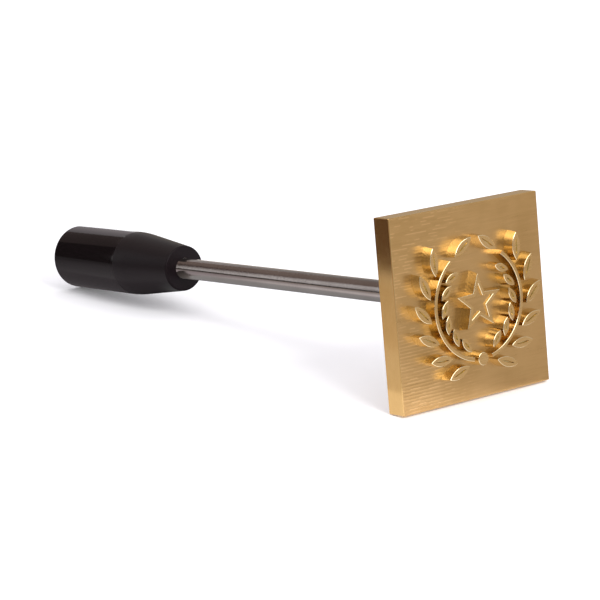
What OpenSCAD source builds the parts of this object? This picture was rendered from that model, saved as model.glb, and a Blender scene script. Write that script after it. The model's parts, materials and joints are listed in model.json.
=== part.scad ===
// Hand branding iron: a milled brass die on a steel rod with a moulded handle.
// It lies on a table, on the lower back edge of its die and on the rim of its handle.
// Each piece is drawn along the rod's axis: z = 0 is the back of the die and +z leaves
// the branding face. The module at_rest() then lays the whole tool down.

/* [Die] */
// Side of the square die
die_side = 83; // [78:1:110]
// Thickness of the die from its back to the milled floor
floor_t = 9.7; // [9:0.1:14]
// Chamfer that breaks the edges of the die
die_edge = 0.3; // [0.2:0.1:1]
// Height of the relief above the milled floor
relief_h = 5.3; // [3.5:0.1:7]
// Draft of the relief's walls, in degrees
draft = 4; // [2:0.5:5]

/* [Wreath] */
// Radius of the ring that the stem follows
wreath_r = 24; // [23.5:0.5:26]
// Width of the stem's top
stem_w = 1.6; // [1.2:0.1:2.2]
// Angle of the opening at the top of the wreath
wreath_gap = 72; // [66:1:84]
// Angle that the stem runs on each side of the bud before its first leaves
bare_stem = 17; // [14:1:24]
// Floor left clear between the stem and its leaves and bud
floor_gap = 1.4; // [0.8:0.1:1.6]
// Pairs of leaves on each side
leaf_pairs = 6; // [4:1:6]
// Length of an outer leaf
outer_leaf_len = 12; // [10:0.5:13]
// Width of an outer leaf
outer_leaf_w = 4.4; // [3:0.1:4.8]
// Length of an inner leaf
inner_leaf_len = 8; // [7:0.1:8.4]
// Width of an inner leaf
inner_leaf_w = 3.4; // [2.8:0.1:3.6]
// Angle between a leaf and the stem
leaf_splay = 36; // [32:1:42]
// Width of the groove along a leaf's rib
rib_w = 0.8; // [0.5:0.1:1.1]
// Depth of the groove along a leaf's rib
rib_depth = 0.7; // [0.4:0.1:1.5]
// Distance from the groove's ends to the leaf's ends
rib_margin = 2.2; // [1.5:0.1:3]
// Radius of the bud at the foot of the wreath
bud_r = 2.8; // [2:0.1:3.6]

/* [Star] */
// Radius of the star's points
star_r = 12.5; // [10:0.5:14]
// Radius of the star's inner corners
star_waist_r = 5.4; // [4.8:0.1:7]
// Width of the rim round the star's sunk middle
star_rim = 1.6; // [1:0.1:2.4]
// Depth of the star's sunk middle
star_sink = 0.9; // [0.4:0.1:2]

/* [Rod] */
// Diameter of the rod
rod_d = 10; // [8:0.5:12]
// Length of rod between the back of the die and the handle
rod_exposed = 201.5; // [120:0.5:320]
// Difference between the plain rod and its threaded ends
thread_step = 0.2; // [0.1:0.05:0.5]
// Depth that the rod screws into the die
die_engage = 7.4; // [5:0.1:7.8]
// Thread left showing behind the lock nut
thread_spare = 4; // [2:0.5:10]
// Chamfer on the ends of the rod
rod_chamfer = 1.2; // [0.5:0.1:1.5]

/* [Lock nut and washer] */
// Width of the nut across its flats
nut_af = 17; // [16:0.5:19]
// Thickness of the nut
nut_t = 5; // [4:0.5:8]
// Outer diameter of the spring washer
washer_od = 18.1; // [16:0.1:21]
// Thickness of the spring washer when it is clamped
washer_t = 2.2; // [1.5:0.1:3]
// Width of the split in the spring washer
washer_split = 1.2; // [0.8:0.1:2]

/* [Handle] */
// Diameter of the barrel
barrel_d = 31.6; // [28:0.2:36]
// Length of the barrel from its rear end to the nose
barrel_len = 58.6; // [45:0.2:90]
// Diameter of the front of the nose
nose_d = 22.2; // [20:0.2:26]
// Length of the tapered nose
nose_len = 37; // [30:1:50]
// Radius that blends the barrel into the nose
blend_r = 90; // [30:5:110]
// Radius of the barrel's rear edge
rear_edge = 1.3; // [0.6:0.1:3]
// Radius of the nose's front edge
nose_edge = 1; // [0.5:0.1:3]

/* [Handle insert] */
// Diameter of the threaded insert
insert_d = 15; // [14:0.5:17]
// Length of the insert
insert_len = 22; // [14:1:28]
// Depth of plain bore between the nose's front and the insert
insert_depth = 8; // [4:1:12]
// Bands left standing on the insert
insert_bands = 3; // [2:1:4]
// Width of a groove between two bands
insert_groove_w = 2.4; // [1.5:0.1:3]
// Depth of a groove between two bands
insert_groove_depth = 0.7; // [0.4:0.1:0.8]
// Insert left empty behind the rod's end
insert_spare = 2; // [1:0.5:5]

/* [Fits] */
// Radial clearance of a threaded end in its hole
thread_clear = 0.05; // [0.02:0.01:0.1]
// Radial clearance of the rod in the handle and of the washer on the rod
slip_clear = 0.1; // [0.05:0.05:0.2]
// Clearance between the insert and the plastic moulded round it
mould_clear = 0.02; // [0.01:0.01:0.05]

/* [Hidden] */

$fn = 96;
brass = "#b8935a";
steel = "#8c8480";
zinc = "#a9a9a6";
phenolic = "#1d1a19";

// How far a cut runs past the face it opens, and a raised form sinks into its base
over = 0.5;
// Angle of a twist drill's point, measured from the drill's axis
drill_half_angle = 59;
// Angle of the cone that turns off a nut's corners
nut_chamfer_angle = 30;
// Angle between the middle of a hexagon's side and its corner
hexagon_half_angle = 30;
// Slant of the split in the spring washer
split_slant = 20;
star_points = 5;
arc_steps = 12;

// Threads and holes
thread_d = rod_d - thread_step;
thread_hole_r = thread_d / 2 + thread_clear;
slip_hole_r = rod_d / 2 + slip_clear;
mouth_chamfer = rod_chamfer / 2;

// Relief: its height with the part sunk in the plate, and the distance between the tops of
// two raised forms at which their spreading walls still leave some floor
relief_sunk_h = relief_h + over;
island_gap = 2 * relief_sunk_h * tan(draft) + floor_gap;
leaf_offset = stem_w / 2 + island_gap;

// Angle of the first pair of leaves, and how far down the first outer leaf's tip or the bud
// reaches from the middle of the face
first_leaf = bare_stem - 90;
leaf_tip = [wreath_r + leaf_offset + outer_leaf_len * sin(leaf_splay), outer_leaf_len * cos(leaf_splay)];
leaf_reach = -leaf_tip.x * sin(first_leaf) - leaf_tip.y * cos(first_leaf);
relief_reach = max(wreath_r + bud_r, leaf_reach);

// Stations along the rod's axis
face_z = floor_t + relief_h;
washer_z = -washer_t;
nut_z = washer_z - nut_t;
front_thread_z = nut_z - thread_spare;
nose_z = -rod_exposed;
joint_z = nose_z - nose_len;
rear_z = joint_z - barrel_len;
insert_z = nose_z - insert_depth;
rod_end_z = insert_z - insert_len + insert_spare;

// The tool rests on the chamfered lower back edge of the die and on the round edge of the
// barrel, so its tilt follows from the two heights below the axis and their distance.
barrel_r = barrel_d / 2;
nose_r = nose_d / 2;
die_reach = die_side / 2;
span = die_edge - rear_z - rear_edge;
fall = die_reach - barrel_r + rear_edge;
tilt = atan2(fall, span) - asin(rear_edge / norm([fall, span]));
lift = die_reach * cos(tilt) - die_edge * sin(tilt);
rear_x = (rear_z + rear_edge) * cos(tilt) - (barrel_r - rear_edge) * sin(tilt) - rear_edge;
front_x = face_z * cos(tilt) + relief_reach * sin(tilt);

// Turns the rod's axis from +z to +x, with the top of the artwork up, and lays the tool down
// with the middle of its length over the origin.
module at_rest() {
    translate([-(rear_x + front_x) / 2, 0, lift])
        rotate([0, -tilt, 0])
            rotate([90, 0, 90])
                children();
}

// Rectangle about the origin with its four corners cut off
module cut_rectangle(width, height, cut) {
    x = width / 2;
    y = height / 2;
    polygon([
        [cut - x, -y], [x - cut, -y], [x, cut - y], [x, y - cut],
        [x - cut, y], [cut - x, y], [-x, y - cut], [-x, cut - y]
    ]);
}

// Plate with all twelve edges chamfered, where its three outlines meet
module chamfered_plate() {
    intersection() {
        linear_extrude(floor_t)
            cut_rectangle(die_side, die_side, die_edge);
        translate([0, die_reach, floor_t / 2])
            rotate([90, 0, 0])
                linear_extrude(die_side)
                    cut_rectangle(die_side, floor_t, die_edge);
        translate([-die_reach, 0, floor_t / 2])
            rotate([90, 0, 90])
                linear_extrude(die_side)
                    cut_rectangle(die_side, floor_t, die_edge);
    }
}

// Round relief of a given top radius, whose wall spreads towards the floor
module raised_disc(r) {
    translate([0, 0, floor_t - over])
        cylinder(r1 = r + relief_sunk_h * tan(draft), r2 = r, h = relief_sunk_h);
}

// Radius of the two arcs that bound a pointed oval
function oval_r(len, w) = (len * len + w * w) / (4 * w);

// Pointed oval with drafted walls, from the origin along +x: what two round forms share
module raised_oval(len, w) {
    r = oval_r(len, w);
    intersection() {
        translate([len / 2, r - w / 2, 0])
            raised_disc(r);
        translate([len / 2, w / 2 - r, 0])
            raised_disc(r);
    }
}

// Groove of the same pointed form along a leaf's rib
module rib_groove(len) {
    groove = len - 2 * rib_margin;
    r = oval_r(groove, rib_w);
    translate([len / 2, 0, face_z - rib_depth])
        intersection() {
            translate([0, r - rib_w / 2, 0])
                cylinder(r = r, h = rib_depth + over);
            translate([0, rib_w / 2 - r, 0])
                cylinder(r = r, h = rib_depth + over);
        }
}

module leaf(len, w) {
    difference() {
        raised_oval(len, w);
        rib_groove(len);
    }
}

// Curved stem of the right-hand side, from beside the bud to the opening at the top
module stem(from, to) {
    half = stem_w / 2;
    foot = half + relief_sunk_h * tan(draft);
    translate([0, 0, floor_t - over])
        rotate([0, 0, from])
            rotate_extrude(angle = to - from)
                translate([wreath_r, 0])
                    polygon([[-foot, 0], [foot, 0], [half, relief_sunk_h], [-half, relief_sunk_h]]);
}

// Right-hand side of the wreath: the stem, pairs of leaves up it, and one more beyond its end
module wreath_side() {
    start = 2 * asin((bud_r + island_gap) / (2 * wreath_r)) - 90;
    last = 90 - wreath_gap / 2;
    pitch = (last - first_leaf) / leaf_pairs;
    stem(start, last);
    for (i = [0 : leaf_pairs - 1])
        rotate(first_leaf + i * pitch) {
            translate([wreath_r + leaf_offset, 0, 0])
                rotate(90 - leaf_splay)
                    leaf(outer_leaf_len, outer_leaf_w);
            translate([wreath_r - leaf_offset, 0, 0])
                rotate(90 + leaf_splay)
                    leaf(inner_leaf_len, inner_leaf_w);
        }
    rotate(last)
        translate([wreath_r, leaf_offset, 0])
            rotate(90)
                leaf(outer_leaf_len, outer_leaf_w);
}

// Star with a rim and a sunk middle. Its walls all lie as far from the centre, so scaling its
// outline moves each of them by the same distance.
module star() {
    half_step = 180 / star_points;
    waist = [star_waist_r * cos(half_step), star_waist_r * sin(half_step)];
    wall_distance = star_r * waist.y / norm([star_r - waist.x, waist.y]);
    spread = 1 + relief_sunk_h * tan(draft) / wall_distance;
    outline = [
        for (i = [0 : 2 * star_points - 1])
            let (r = i % 2 == 0 ? star_r : star_waist_r)
                r * [sin(i * half_step), cos(i * half_step)]
    ];
    difference() {
        translate([0, 0, floor_t - over])
            linear_extrude(relief_sunk_h, scale = 1 / spread)
                polygon(spread * outline);
        translate([0, 0, face_z - star_sink])
            linear_extrude(star_sink + over)
                polygon((1 - star_rim / wall_distance) * outline);
    }
}

// Tapped blind hole in the back of the die, with its drill point
module die_hole() {
    depth = die_engage + rod_chamfer / 2;
    translate([0, 0, -over])
        cylinder(r = thread_hole_r, h = depth + over);
    translate([0, 0, depth])
        cylinder(r1 = thread_hole_r, r2 = 0, h = thread_hole_r / tan(drill_half_angle));
    translate([0, 0, -over])
        cylinder(r1 = thread_hole_r + mouth_chamfer + over, r2 = thread_hole_r, h = mouth_chamfer + over);
}

// Die milled from one block: the plate, the wreath and the star
module die_plate() {
    color(brass)
        difference() {
            union() {
                chamfered_plate();
                translate([0, -wreath_r, 0])
                    raised_disc(bud_r);
                for (side = [0, 1])
                    mirror([side, 0, 0])
                        wreath_side();
                star();
            }
            die_hole();
        }
}

// Ground rod with a thread cut on each end
module rod() {
    plain = rod_d / 2;
    thread = thread_d / 2;
    tip = thread - rod_chamfer;
    color(steel)
        rotate_extrude()
            polygon([
                [0, rod_end_z], [tip, rod_end_z], [thread, rod_end_z + rod_chamfer],
                [thread, insert_z], [plain, insert_z],
                [plain, front_thread_z], [thread, front_thread_z],
                [thread, die_engage - rod_chamfer], [tip, die_engage], [0, die_engage]
            ]);
}

// Split spring washer, clamped flat between the nut and the die
module lock_washer() {
    cutter = [washer_od, washer_split, 3 * washer_t];
    color(zinc)
        translate([0, 0, washer_z])
            difference() {
                cylinder(d = washer_od, h = washer_t);
                translate([0, 0, -over])
                    cylinder(r = slip_hole_r, h = washer_t + 2 * over);
                translate([washer_od / 2, 0, washer_t / 2])
                    rotate([split_slant, 0, 0])
                        cube(cutter, center = true);
            }
}

// Thin hexagon nut with both faces turned off at the corners
module lock_nut() {
    corner_d = nut_af / cos(hexagon_half_angle);
    cone_h = (corner_d - nut_af) / 2 * tan(nut_chamfer_angle);
    color(zinc)
        translate([0, 0, nut_z])
            difference() {
                intersection() {
                    cylinder(d = corner_d, h = nut_t, $fn = 6);
                    rotate_extrude()
                        polygon([
                            [0, 0], [nut_af / 2, 0], [corner_d / 2, cone_h],
                            [corner_d / 2, nut_t - cone_h], [nut_af / 2, nut_t], [0, nut_t]
                        ]);
                }
                translate([0, 0, -over])
                    cylinder(r = thread_hole_r, h = nut_t + 2 * over);
            }
}

// Points on an arc, from one angle to another
function arc(centre, r, from, to) = [
    for (i = [0 : arc_steps])
        let (angle = from + (to - from) * i / arc_steps)
            centre + r * [cos(angle), sin(angle)]
];

// Half section of the handle's outside: rounded rear edge, barrel, blend, tapered nose and
// rounded front edge
module handle_outline() {
    taper = atan2(barrel_r - nose_r, nose_len);
    run = blend_r * tan(taper / 2);
    front_r = nose_r + nose_edge * (tan(taper) - 1 / cos(taper));
    polygon(concat(
        [[0, rear_z]],
        arc([barrel_r - rear_edge, rear_z + rear_edge], rear_edge, -90, 0),
        arc([barrel_r - blend_r, joint_z - run], blend_r, 0, taper),
        arc([front_r, nose_z - nose_edge], nose_edge, taper, 90),
        [[0, nose_z]]
    ));
}

// Outside of the insert, with its bands and grooves, grown by a clearance
module insert_body(grow) {
    band = (insert_len - (insert_bands - 1) * insert_groove_w) / insert_bands;
    core_r = insert_d / 2 - insert_groove_depth + grow;
    translate([0, 0, insert_z - insert_len]) {
        translate([0, 0, -grow])
            cylinder(r = core_r, h = insert_len + 2 * grow);
        for (i = [0 : insert_bands - 1])
            translate([0, 0, i * (band + insert_groove_w) - grow])
                cylinder(d = insert_d + 2 * grow, h = band + 2 * grow);
    }
}

// Moulded handle, with a plain bore for the rod and the plastic gripping the insert
module handle() {
    color(phenolic)
        difference() {
            rotate_extrude()
                handle_outline();
            translate([0, 0, insert_z - over])
                cylinder(r = slip_hole_r, h = insert_depth + 2 * over);
            insert_body(mould_clear);
        }
}

// Threaded brass insert in the handle
module handle_insert() {
    color(brass)
        difference() {
            insert_body(0);
            translate([0, 0, insert_z - insert_len - over])
                cylinder(r = thread_hole_r, h = insert_len + 2 * over);
        }
}

at_rest() die_plate();
at_rest() rod();
at_rest() lock_washer();
at_rest() lock_nut();
at_rest() handle();
at_rest() handle_insert();
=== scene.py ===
"""Dressed model of a hand branding iron: a milled brass die, a steel rod and a moulded handle.

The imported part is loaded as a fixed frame. Each sub-assembly is a class that keeps its sizes in
millimetres, works its surfaces out as whole numpy arrays and dresses them. All surfaces are drawn
in the tool's own frame: z runs along the rod and leaves the branding face, x runs across the die,
y runs up it, and the origin is the middle of the die's back.
"""

import json
import logging
import math
from abc import ABC, abstractmethod
from dataclasses import dataclass, field, replace
from enum import Enum
from typing import Any, Iterable, Mapping, Sequence

import bmesh
import bpy
import numpy as np
from mathutils import Matrix, Vector


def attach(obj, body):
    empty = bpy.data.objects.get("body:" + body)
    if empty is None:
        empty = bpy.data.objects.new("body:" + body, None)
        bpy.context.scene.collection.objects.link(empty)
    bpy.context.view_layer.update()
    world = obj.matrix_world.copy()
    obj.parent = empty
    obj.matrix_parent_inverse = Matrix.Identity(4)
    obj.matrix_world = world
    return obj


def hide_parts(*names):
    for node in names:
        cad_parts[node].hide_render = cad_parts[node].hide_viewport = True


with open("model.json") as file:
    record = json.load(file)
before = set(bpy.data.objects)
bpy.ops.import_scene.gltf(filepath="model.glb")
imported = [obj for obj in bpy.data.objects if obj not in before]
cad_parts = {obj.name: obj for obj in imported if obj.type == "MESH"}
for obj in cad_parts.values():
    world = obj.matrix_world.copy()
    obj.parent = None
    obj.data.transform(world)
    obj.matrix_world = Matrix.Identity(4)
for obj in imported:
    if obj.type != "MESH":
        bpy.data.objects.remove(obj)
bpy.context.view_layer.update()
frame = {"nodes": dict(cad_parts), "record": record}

MM = 0.001
BODY = "root"
CARD_LIFT = 0.0004
Colour = tuple[float, float, float]
Point = tuple[float, float, float]
Span = tuple[float, float]
log = logging.getLogger("branding_iron")


# Place of the tool

@dataclass(frozen=True)
class ToolFrame:
    """Where the tool lies: its origin in metres and its three axes in the row frame."""

    origin: np.ndarray
    across: np.ndarray
    up: np.ndarray
    along: np.ndarray

    @classmethod
    def from_record(cls, record: Mapping[str, Any], face_height: float) -> "ToolFrame":
        """Reads the tool's place off the branding face's mount.

        Args:
            record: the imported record, with its mounts.
            face_height: height of the branding face over the die's back, in millimetres.

        Returns:
            The tool's frame, with its origin on the die's back.
        """
        mount = next(m for m in record["mounts"] if m["name"] == "branding_face")
        along = np.array(mount["axis"], float)
        along /= np.linalg.norm(along)
        across = np.array((0.0, 1.0, 0.0))
        origin = np.array(mount["pos_m"], float) - face_height * MM * along
        return cls(origin, across, np.cross(along, across), along)

    def axes(self) -> np.ndarray:
        """Returns the three axes as the rows of a matrix."""
        return np.stack([self.across, self.up, self.along])

    def to_row(self, points: np.ndarray) -> np.ndarray:
        """Turns points of the tool, in millimetres, into points of the row frame, in metres."""
        return self.origin + MM * points @ self.axes()

    def turn(self) -> tuple[float, float, float]:
        """Returns the Euler angles that turn the row frame's axes onto the tool's."""
        return tuple(Matrix(self.axes().T.tolist()).to_euler("XYZ"))


# Surfaces as whole arrays

@dataclass
class Skin:
    """A surface in the tool's frame: points, four-cornered faces and the finish of each face."""

    points: np.ndarray
    faces: np.ndarray
    finish: np.ndarray

    @classmethod
    def from_grid(cls, grid: np.ndarray, finish: int | Sequence[int] = 0,
                  wrap_rows: bool = False, wrap_columns: bool = False) -> "Skin":
        """Joins neighbours on a grid of points with faces.

        Args:
            grid: points, as an array of rows by columns by 3.
            finish: number of the finish, one for all or one for each strip between two rows.
            wrap_rows: whether the last row meets the first.
            wrap_columns: whether the last column meets the first.

        Returns:
            The surface.
        """
        rows, columns = grid.shape[:2]
        index = np.arange(rows * columns).reshape(rows, columns)
        if wrap_rows:
            index = np.concatenate([index, index[:1]])
        if wrap_columns:
            index = np.concatenate([index, index[:, :1]], axis=1)
        corners = [index[:-1, :-1], index[1:, :-1], index[1:, 1:], index[:-1, 1:]]
        faces = np.stack(corners, axis=-1)
        strips = np.broadcast_to(np.asarray(finish), faces.shape[0])
        painted = np.broadcast_to(strips[:, None], faces.shape[:2])
        return cls(grid.reshape(-1, 3), faces.reshape(-1, 4), painted.reshape(-1))

    @classmethod
    def join(cls, skins: Iterable["Skin"]) -> "Skin":
        """Puts several surfaces into one, each with its own points.

        Args:
            skins: the surfaces.

        Returns:
            The one surface.
        """
        parts = list(skins)
        starts = np.cumsum([0] + [len(p.points) for p in parts[:-1]])
        return cls(
            np.concatenate([p.points for p in parts]),
            np.concatenate([p.faces + start for p, start in zip(parts, starts)]),
            np.concatenate([p.finish for p in parts]),
        )

    def welded(self, step: float = 1e-4) -> tuple[np.ndarray, list[list[int]], np.ndarray]:
        """Merges points that coincide, which closes seams and poles.

        Args:
            step: distance in millimetres under which two points are one.

        Returns:
            The points, the faces with three or four corners, and the finish of each face.
        """
        keys = np.round(self.points / step).astype(np.int64)
        _, first, merged = np.unique(keys, axis=0, return_index=True, return_inverse=True)
        faces = merged.reshape(-1)[self.faces]
        doubled = faces == np.roll(faces, -1, axis=1)
        whole = doubled.sum(1) == 0
        pinched = doubled.sum(1) == 1
        triangles = faces[pinched][~doubled[pinched]].reshape(-1, 3)
        finish = np.concatenate([self.finish[whole], self.finish[pinched]])
        return self.points[first], faces[whole].tolist() + triangles.tolist(), finish


def circle_angles(count: int) -> np.ndarray:
    """Returns evenly spaced angles round a full circle, from 0."""
    return np.arange(count) * (2 * math.pi / count)


def polar(radius: np.ndarray, angle: np.ndarray, height: np.ndarray | float) -> np.ndarray:
    """Returns the points (r cos t, r sin t, z) for radii r, angles t and heights z."""
    return np.stack(np.broadcast_arrays(radius * np.cos(angle), radius * np.sin(angle), height), -1)


def revolved(profile: np.ndarray, finish: int | Sequence[int] = 0, segments: int = 128) -> Skin:
    """Turns a half section of radii and heights about z, with a finish for all or for each strip."""
    grid = polar(profile[:, :1], circle_angles(segments), profile[:, 1:])
    return Skin.from_grid(grid, finish, wrap_columns=True)


def arc(centre: Sequence[float], radius: float, start: float, end: float, steps: int = 12) -> np.ndarray:
    """Returns points on an arc about a centre, from one angle in degrees to another."""
    angle = np.radians(np.linspace(start, end, steps + 1))
    return np.array(centre) + radius * np.stack([np.cos(angle), np.sin(angle)], -1)


def smooth_step(low: float, high: float, value: np.ndarray) -> np.ndarray:
    """Returns 0 below low, 1 above high and the cubic 3t^2 - 2t^3 between them."""
    t = np.clip((value - low) / (high - low), 0.0, 1.0)
    return t * t * (3 - 2 * t)


def turned(points: np.ndarray, degrees: float) -> np.ndarray:
    """Turns points about z by an angle in degrees."""
    c, s = math.cos(math.radians(degrees)), math.sin(math.radians(degrees))
    return points @ np.array([[c, s, 0.0], [-s, c, 0.0], [0.0, 0.0, 1.0]])


# Shader expressions

class Value:
    """A number that varies over a surface: operators on it add Math nodes to its graph."""

    def __init__(self, graph: "Graph", socket: bpy.types.NodeSocket) -> None:
        """Wraps an output socket of a node in a graph."""
        self.graph = graph
        self.socket = socket

    def math(self, operation: str, *terms: "Value | float") -> "Value":
        """Adds a Math node with its inputs in order and returns its result."""
        node = self.graph.node("ShaderNodeMath", {"operation": operation}, dict(enumerate(terms)))
        return Value(self.graph, node.outputs[0])

    def __add__(self, other: "Value | float") -> "Value":
        """Returns the sum."""
        return self.math("ADD", self, other)

    def __sub__(self, other: "Value | float") -> "Value":
        """Returns the difference."""
        return self.math("SUBTRACT", self, other)

    def __rsub__(self, other: float) -> "Value":
        """Returns a number less this value."""
        return self.math("SUBTRACT", other, self)

    def __mul__(self, other: "Value | float") -> "Value":
        """Returns the product."""
        return self.math("MULTIPLY", self, other)

    def __truediv__(self, other: "Value | float") -> "Value":
        """Returns the quotient."""
        return self.math("DIVIDE", self, other)

    __radd__ = __add__
    __rmul__ = __mul__

    def at_most(self, other: "Value | float") -> "Value":
        """Returns the lesser of the two."""
        return self.math("MINIMUM", self, other)

    def ramp(self, low: float, high: float) -> "Value":
        """Steps smoothly from 0 to 1.

        Args:
            low: value up to which the result is 0.
            high: value from which it is 1.

        Returns:
            The result.
        """
        settings = {"interpolation_type": "SMOOTHSTEP"}
        inputs = {"Value": self, "From Min": low, "From Max": high}
        node = self.graph.node("ShaderNodeMapRange", settings, inputs)
        return Value(self.graph, node.outputs["Result"])


class Graph:
    """Node tree of a material or of the world."""

    def __init__(self, tree: bpy.types.NodeTree) -> None:
        """Empties the tree and takes it over."""
        self.tree = tree
        self.tree.nodes.clear()

    def node(self, kind: str, settings: Mapping[str, Any] | None = None,
             inputs: Mapping[str | int, Any] | None = None) -> bpy.types.Node:
        """Adds a node.

        Args:
            kind: Blender's name of the node's type.
            settings: the node's own settings, which are set first.
            inputs: values or links of its sockets, by name or by number.

        Returns:
            The node.
        """
        made = self.tree.nodes.new(kind)
        for name, value in (settings or {}).items():
            setattr(made, name, value)
        for name, value in (inputs or {}).items():
            self.feed(made.inputs[name], value)
        return made

    def feed(self, socket: bpy.types.NodeSocket, value: Any) -> None:
        """Links a socket to an output, or sets its number or colour.

        Args:
            socket: the input.
            value: a value, an output, a number or a colour.
        """
        if isinstance(value, Value):
            self.tree.links.new(value.socket, socket)
        elif isinstance(value, bpy.types.NodeSocket):
            self.tree.links.new(value, socket)
        else:
            socket.default_value = value

    def blend(self, factor: Value, first: Colour, second: Colour) -> bpy.types.NodeSocket:
        """Mixes two colours by a varying factor, in the node's sockets for colours."""
        inputs = {0: factor, 6: (*first, 1.0), 7: (*second, 1.0)}
        return self.node("ShaderNodeMix", {"data_type": "RGBA"}, inputs).outputs[2]

    def seen_directly(self) -> Value:
        """Tells rays that end at the eye from those that light other things.

        Returns:
            1 for rays from the camera and off gloss or glass, and 0 for the rest.
        """
        path = self.node("ShaderNodeLightPath")
        camera, glossy, through = (
            Value(self, path.outputs[name])
            for name in ("Is Camera Ray", "Is Glossy Ray", "Is Transmission Ray")
        )
        return (camera + glossy + through).at_most(1.0)


class Paint(Graph):
    """Graph of a material on a piece, with the tool's coordinates in millimetres."""

    def __init__(self, name: str, place: ToolFrame) -> None:
        """Makes the material and its shader.

        Args:
            name: the material's name.
            place: the tool's frame.
        """
        self.material = bpy.data.materials.new(name)
        self.material.use_nodes = True
        super().__init__(self.material.node_tree)
        output = self.node("ShaderNodeOutputMaterial")
        self.shader = self.node("ShaderNodeBsdfPrincipled")
        self.feed(output.inputs["Surface"], self.shader.outputs["BSDF"])
        where = self.node("ShaderNodeTexCoord").outputs["Object"]
        inputs = {"Vector": where, "Location": tuple(place.origin), "Rotation": place.turn(),
                  "Scale": (MM, MM, MM)}
        mapping = self.node("ShaderNodeMapping", {"vector_type": "TEXTURE"}, inputs)
        self.point = mapping.outputs["Vector"]
        parts = self.node("ShaderNodeSeparateXYZ", {}, {0: self.point}).outputs
        self.x, self.y, self.z = (Value(self, parts[name]) for name in "XYZ")

    def noise(self, cells: Sequence[float], detail: float = 2.0, roughness: float = 0.5,
              point: bpy.types.NodeSocket | None = None) -> Value:
        """Adds noise over the tool's coordinates, or over others.

        Args:
            cells: cells per millimetre along x, y and z.
            detail: octaves of finer noise.
            roughness: share of each finer octave.
            point: the coordinates, or the tool's own if there are none.

        Returns:
            The noise, from 0 to 1 about a mean of a half.
        """
        scaled = self.node("ShaderNodeVectorMath", {"operation": "MULTIPLY"},
                           {0: point or self.point, 1: tuple(cells)})
        inputs = {"Vector": scaled.outputs[0], "Scale": 1.0, "Detail": detail, "Roughness": roughness}
        return Value(self, self.node("ShaderNodeTexNoise", {}, inputs).outputs[0])

    def bump(self, height: Value, depth: float) -> None:
        """Roughens the surface.

        Args:
            height: the bump, from 0 to 1.
            depth: how deep that is, in millimetres.
        """
        inputs = {"Strength": 1.0, "Distance": depth * MM, "Height": height}
        node = self.node("ShaderNodeBump", {}, inputs)
        self.feed(self.shader.inputs["Normal"], node.outputs["Normal"])

    def surface(self, **inputs: Any) -> bpy.types.Material:
        """Sets the shader's sockets.

        Args:
            inputs: values or links by the sockets' names, with _ for a blank.

        Returns:
            The material.
        """
        for name, value in inputs.items():
            self.feed(self.shader.inputs[name.replace("_", " ")], value)
        return self.material


# Finishes

class Grain(Enum):
    """Way that the fine marks of a tool run, as cells of noise per millimetre along x, y and z."""

    ACROSS = (0.07, 1.1, 0.05)
    ROUND_BAR = (0.04, 0.04, 3.0)
    ROUND_WALL = (0.10, 0.10, 1.6)
    FACED = (0.25, 0.25, 0.5)
    EVEN = (2.0, 2.0, 2.0)


class Finish(ABC):
    """A finish that can make its own material."""

    @abstractmethod
    def material(self, place: ToolFrame) -> bpy.types.Material:
        """Makes the material on a tool that lies in the given frame."""


@dataclass(frozen=True)
class CutMetal(Finish):
    """Bare metal with the fine lines that a cutter or a wheel left in it.

    The colour drifts between two tones in soft clouds, and a little with the lines. The
    roughness follows the lines, which are also pressed in as a bump.
    """

    name: str
    colour: Colour
    tarnish: Colour
    roughness: float
    grain: Grain
    line_depth: float
    roughness_spread: float = 0.12
    cloud_cells: float = 0.045
    cloud_share: float = 0.65
    tone_span: Span = (0.36, 0.64)

    def tone(self, paint: Paint, lines: Value) -> Value:
        """Works out how clean the metal is.

        Args:
            paint: the material's graph.
            lines: the tool's lines, from 0 to 1.

        Returns:
            0 for the tarnished tone to 1 for the bright one.
        """
        clouds = paint.noise((self.cloud_cells,) * 3, detail=3.0)
        mixed = self.cloud_share * clouds + (1 - self.cloud_share) * lines
        return mixed.ramp(*self.tone_span)

    def material(self, place: ToolFrame) -> bpy.types.Material:
        """Makes the material.

        Args:
            place: the frame that the tool lies in.

        Returns:
            The material.
        """
        paint = Paint(self.name, place)
        lines = paint.noise(self.grain.value, detail=3.0, roughness=0.6)
        paint.bump(lines, self.line_depth)
        return paint.surface(
            Base_Color=paint.blend(self.tone(paint, lines), self.tarnish, self.colour),
            Roughness=self.roughness + self.roughness_spread * (lines - 0.5),
            Metallic=1.0,
        )


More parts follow.
